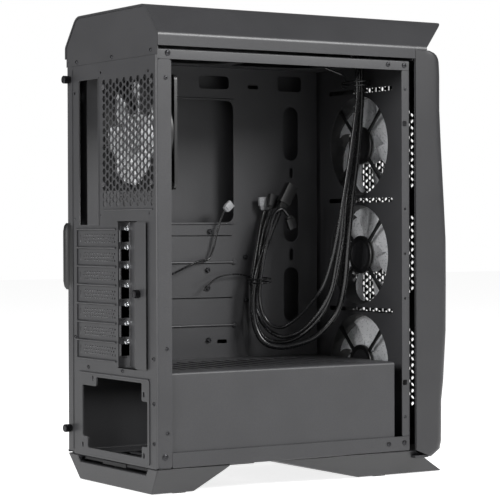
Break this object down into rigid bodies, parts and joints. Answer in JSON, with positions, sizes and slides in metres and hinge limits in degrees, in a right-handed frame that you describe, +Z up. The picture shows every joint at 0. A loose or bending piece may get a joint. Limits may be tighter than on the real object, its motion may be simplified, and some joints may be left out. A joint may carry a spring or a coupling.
{
  "type": "desktop computer tower case",
  "caption": "Upright computer case with an open side window, fans, slot covers, cable leads, side panel, raised top cover and angled feet.",
  "frame": {"origin": "on the floor under the middle of the case's box", "axes": "+Z up, +Y to the rear panel, -X to the open window side"},
  "size_m": [0.211, 0.3956, 0.5139],
  "materials": {
    "chassis_steel": "fine satin powder coat over steel sheet, dark grey",
    "cover_plastic": "moulded ABS, fine satin texture, mid grey",
    "front_plastic": "moulded ABS, fine satin texture, dark grey",
    "black_plastic": "moulded plastic, black, slight sheen",
    "blade_plastic": "frosted translucent plastic, pale grey",
    "thumbscrew_black": "black zinc on a knurled steel screw",
    "bare_steel": "bright zinc-plated screw heads",
    "pad_rubber": "soft matt foam rubber",
    "net": "fine woven nylon net in a plastic frame",
    "lead_jacket": "smooth black PVC jacket with a soft sheen"
  },
  "bodies": {
    "case": {"rear_panel": "chassis_steel", "chassis_floor": "chassis_steel", "chassis_top": "chassis_steel", "chassis_front": "chassis_steel", "motherboard_tray": "chassis_steel", "psu_shroud": "chassis_steel", "drive_cage": "chassis_steel", "slot_guard": "chassis_steel", "rear_upper_plate": "chassis_steel", "guard_thumbscrew": "thumbscrew_black", "top_cover": "cover_plastic", "rear_foot": "cover_plastic", "front_foot": "cover_plastic", "front_panel": "front_plastic", "top_filter": "net", "front_mesh": "black_plastic", "socket_strip": "black_plastic", "rear_fan_frame": "black_plastic", "slot_cover_1": "chassis_steel", "slot_cover_2": "chassis_steel", "slot_cover_3": "chassis_steel", "slot_cover_4": "chassis_steel", "slot_cover_5": "chassis_steel", "slot_cover_6": "chassis_steel", "slot_cover_7": "chassis_steel", "slot_screw_1": "bare_steel", "slot_screw_2": "bare_steel", "slot_screw_3": "bare_steel", "slot_screw_4": "bare_steel", "slot_screw_5": "bare_steel", "slot_screw_6": "bare_steel", "slot_screw_7": "bare_steel", "front_fan_frame_1": "black_plastic", "front_fan_frame_2": "black_plastic", "front_fan_frame_3": "black_plastic", "foot_pad_rear_left": "pad_rubber", "foot_pad_rear_right": "pad_rubber", "foot_pad_front_left": "pad_rubber", "foot_pad_front_right": "pad_rubber", "usb3_lead": "lead_jacket", "usb3_plug": "black_plastic", "usb2_lead": "lead_jacket", "usb2_plug": "black_plastic", "audio_lead": "lead_jacket", "audio_plug": "black_plastic", "switch_lead": "lead_jacket", "switch_plug": "black_plastic", "rear_fan_lead": "lead_jacket", "rear_fan_plug": "black_plastic"},
    "dust_filter": {"dust_filter": "net"},
    "power_button": {"power_button": "front_plastic"},
    "reset_button": {"reset_button": "front_plastic"},
    "side_panel": {"right_side_panel": "chassis_steel", "panel_thumbscrew_upper": "thumbscrew_black", "panel_thumbscrew_lower": "thumbscrew_black"},
    "front_fan_rotor_1": {"front_fan_rotor_1": "blade_plastic"},
    "front_fan_rotor_2": {"front_fan_rotor_2": "blade_plastic"},
    "front_fan_rotor_3": {"front_fan_rotor_3": "blade_plastic"},
    "rear_fan_rotor": {"rear_fan_rotor": "blade_plastic"}
  },
  "joints": [
    {"name": "front_fan_spin_1", "type": "hinge", "parent": "case", "child": "front_fan_rotor_1", "pos_m": [-0.003, -0.1524, 0.37444], "axis": [0, 1, 0], "continuous": true},
    {"name": "front_fan_spin_2", "type": "hinge", "parent": "case", "child": "front_fan_rotor_2", "pos_m": [-0.003, -0.1524, 0.24794], "axis": [0, 1, 0], "continuous": true},
    {"name": "front_fan_spin_3", "type": "hinge", "parent": "case", "child": "front_fan_rotor_3", "pos_m": [-0.003, -0.1524, 0.12144], "axis": [0, 1, 0], "continuous": true},
    {"name": "rear_fan_spin", "type": "hinge", "parent": "case", "child": "rear_fan_rotor", "pos_m": [-0.039, 0.1763, 0.37959], "axis": [0, 1, 0], "continuous": true},
    {"name": "power_button_press", "type": "slide", "parent": "case", "child": "power_button", "axis": [0, 0, -1], "range_m": [0, 0.0012], "stiffness_N_per_m": 500, "springref_m": -0.0006},
    {"name": "reset_button_press", "type": "slide", "parent": "case", "child": "reset_button", "axis": [0, 0, -1], "range_m": [0, 0.0012], "stiffness_N_per_m": 400, "springref_m": -0.0006},
    {"name": "dust_filter_slide", "type": "slide", "parent": "case", "child": "dust_filter", "axis": [0, 1, 0], "range_m": [0, 0.13]},
    {"name": "side_panel_slide", "type": "slide", "parent": "case", "child": "side_panel", "axis": [0, 1, 0], "range_m": [0, 0.02]}
  ]
}
